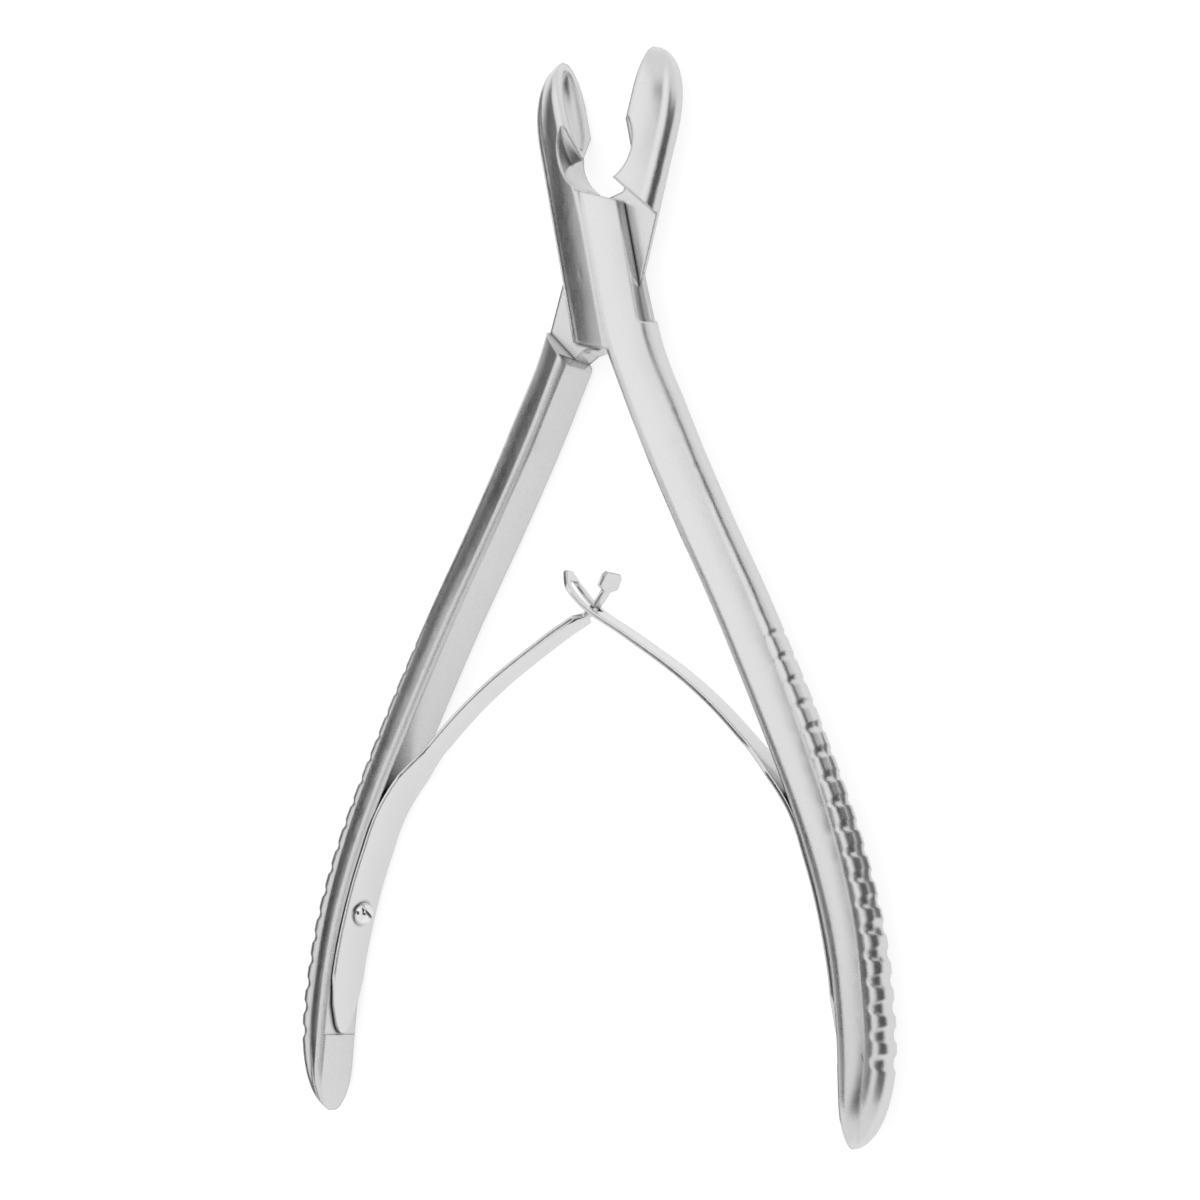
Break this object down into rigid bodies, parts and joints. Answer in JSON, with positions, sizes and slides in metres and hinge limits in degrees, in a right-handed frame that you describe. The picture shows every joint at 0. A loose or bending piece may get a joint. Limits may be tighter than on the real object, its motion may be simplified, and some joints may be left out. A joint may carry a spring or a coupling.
{
  "type": "bone rongeur",
  "caption": "Straight bone rongeur: two crossed halves with cupped biting jaws, grooved handles, a screw joint and interlocking leaf springs that push it open.",
  "frame": {"origin": "on the pivot's axis, in the plane that the tool lies on", "axes": "+Z along the pivot's axis, out of the face with the front joint plate; +Y towards the jaws, midway between the halves; +X towards the handle with the slotted leaf spring"},
  "size_m": [0.1106, 0.1701, 0.0087],
  "materials": {
    "forged_steel": "satin, fine matt grain",
    "spring_steel": "satin, brighter on the thin edges",
    "screw_steel": "polished"
  },
  "bodies": {
    "front": {"front_half": "forged_steel", "joint_screw": "screw_steel", "slotted_leaf_spring": "spring_steel", "right_spring_screw": "screw_steel"},
    "rear": {"rear_half": "forged_steel", "hammer_leaf_spring": "spring_steel", "left_spring_screw": "screw_steel"}
  },
  "joints": [
    {"name": "pivot", "type": "hinge", "parent": "front", "child": "rear", "pos_m": [0, 0, 0.00435], "axis": [0, 0, 1], "range_deg": [0, 27.5], "stiffness_Nm_per_rad": 1.5, "springref_deg": -6.88, "deforming": ["slotted_leaf_spring", "hammer_leaf_spring"]}
  ]
}
